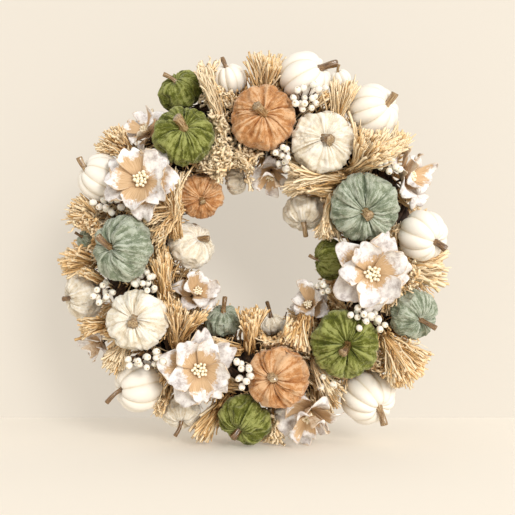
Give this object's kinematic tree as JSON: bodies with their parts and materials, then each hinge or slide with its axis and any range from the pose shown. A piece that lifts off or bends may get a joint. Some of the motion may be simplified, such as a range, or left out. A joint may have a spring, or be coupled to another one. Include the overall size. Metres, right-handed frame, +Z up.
{
  "type": "harvest door wreath",
  "caption": "Round door wreath on a twisted vine ring, dressed with stuffed pumpkins, wooden flowers, berry sprays and cut straw, hung by a wire loop that folds flat.",
  "frame": {"origin": "the seat of the hanging loop: the point inside its top where a door hook bears", "axes": "+Z up as it hangs, the dressed front faces -Y and the back lies towards +Y against the door, +X to the right seen from the front"},
  "size_m": [0.461, 0.1529, 0.4671],
  "materials": {
    "vine": "dark dried vine, twisted in hanks",
    "wire": "plain grey steel wire",
    "green_velvet": "olive green crushed velvet",
    "sage_velvet": "grey-green crushed velvet",
    "orange_velvet": "burnt orange crushed velvet",
    "cream_velvet": "ivory crushed velvet",
    "white_shell": "smooth matt ivory",
    "petal_wood": "thin wood shavings, tan with a rough whitewash",
    "berry": "creamy white, slightly waxy",
    "straw": "dried straw and raffia strands, natural tan"
  },
  "bodies": {
    "wreath": {"vine_hank_1": "vine", "vine_hank_2": "vine", "vine_hank_3": "vine", "vine_hank_4": "vine", "vine_hank_5": "vine", "hanger_wire_left": "wire", "hanger_wire_right": "wire", "pumpkin_green_top": "green_velvet", "pumpkin_green_upper_left": "green_velvet", "pumpkin_orange_top": "orange_velvet", "pumpkin_cream_top": "cream_velvet", "pumpkin_white_top": "white_shell", "pumpkin_white_top_small": "white_shell", "pumpkin_white_top_left": "white_shell", "pumpkin_white_upper_right": "white_shell", "pumpkin_sage_right": "sage_velvet", "pumpkin_white_right": "white_shell", "pumpkin_green_right_inner": "green_velvet", "pumpkin_sage_lower_right": "sage_velvet", "pumpkin_green_lower_right": "green_velvet", "pumpkin_white_lower_right": "white_shell", "pumpkin_orange_bottom": "orange_velvet", "pumpkin_green_bottom": "green_velvet", "pumpkin_cream_lower_left": "cream_velvet", "pumpkin_sage_left": "sage_velvet", "pumpkin_white_left": "white_shell", "pumpkin_cream_left": "cream_velvet", "pumpkin_white_lower_left": "white_shell", "pumpkin_cream_bottom": "cream_velvet", "pumpkin_orange_inner_left": "orange_velvet", "pumpkin_cream_inner_left": "cream_velvet", "pumpkin_cream_inner_top": "cream_velvet", "pumpkin_cream_inner_right": "cream_velvet", "pumpkin_sage_inner_bottom": "sage_velvet", "pumpkin_cream_inner_bottom": "cream_velvet", "flower_upper_left": "petal_wood", "flower_top_left_edge": "petal_wood", "flower_inner_top": "petal_wood", "flower_right_edge": "petal_wood", "flower_right": "petal_wood", "flower_inner_left": "petal_wood", "flower_lower_left": "petal_wood", "flower_inner_right": "petal_wood", "flower_bottom": "petal_wood", "flower_left_edge": "petal_wood", "berries_top": "berry", "berries_inner_top": "berry", "berries_upper_right": "berry", "berries_left": "berry", "berries_lower_left": "berry", "berries_bottom": "berry", "berries_right": "berry", "straw_top": "straw", "straw_upper_right": "straw", "straw_inner_upper_right": "straw", "straw_right": "straw", "straw_lower_right": "straw", "straw_bottom_left": "straw", "straw_left": "straw"},
    "hanging_loop": {"hanging_loop": "wire"}
  },
  "joints": [
    {"name": "loop_hinge", "type": "hinge", "parent": "wreath", "child": "hanging_loop", "pos_m": [0, 0, -0.0446], "axis": [-1, 0, 0], "range_deg": [-12, 175]}
  ]
}
